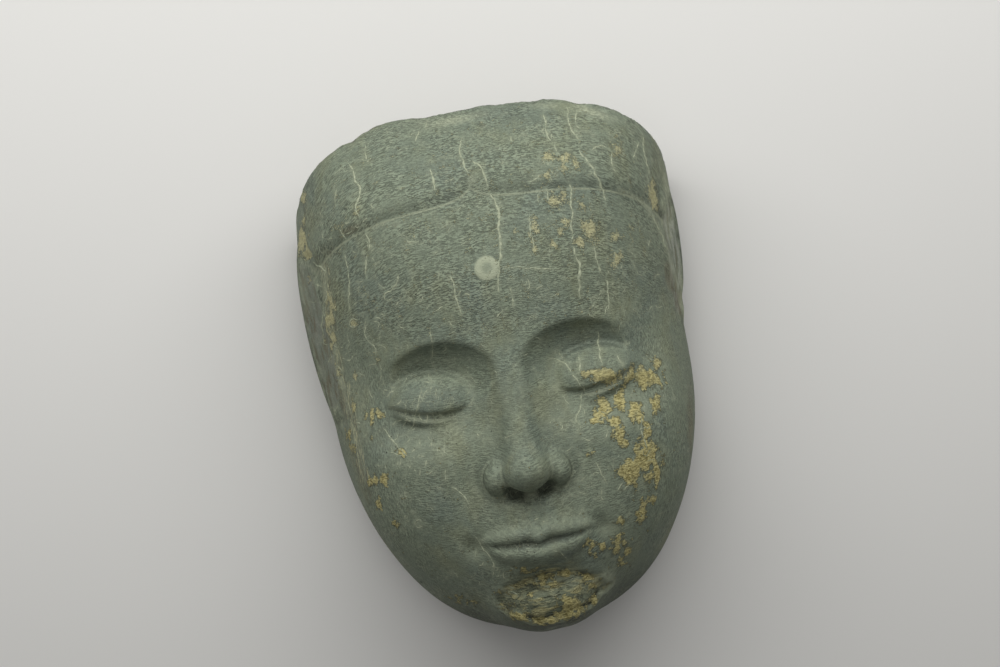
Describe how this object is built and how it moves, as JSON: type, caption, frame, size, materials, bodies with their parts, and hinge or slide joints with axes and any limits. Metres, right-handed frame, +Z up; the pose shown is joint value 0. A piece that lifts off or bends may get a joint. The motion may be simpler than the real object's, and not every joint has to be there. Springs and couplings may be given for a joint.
{
  "type": "carved stone head",
  "caption": "Broken head of a carved stone figure, with a calm face under a smooth cap of hair, lying face up on its fractured back.",
  "frame": {"origin": "bottom centre of the bounding box, on the surface that the head lies on", "axes": "+X to the viewer's right across the face, +Y from chin to crown, +Z up and out of the face"},
  "size_m": [0.1928, 0.2593, 0.1187],
  "materials": {
    "stone": "matte grey-green stone with fine rasp lines, cream veins and patches of ochre soil"
  },
  "bodies": {
    "root": {"stone_head": "stone"}
  },
  "joints": []
}
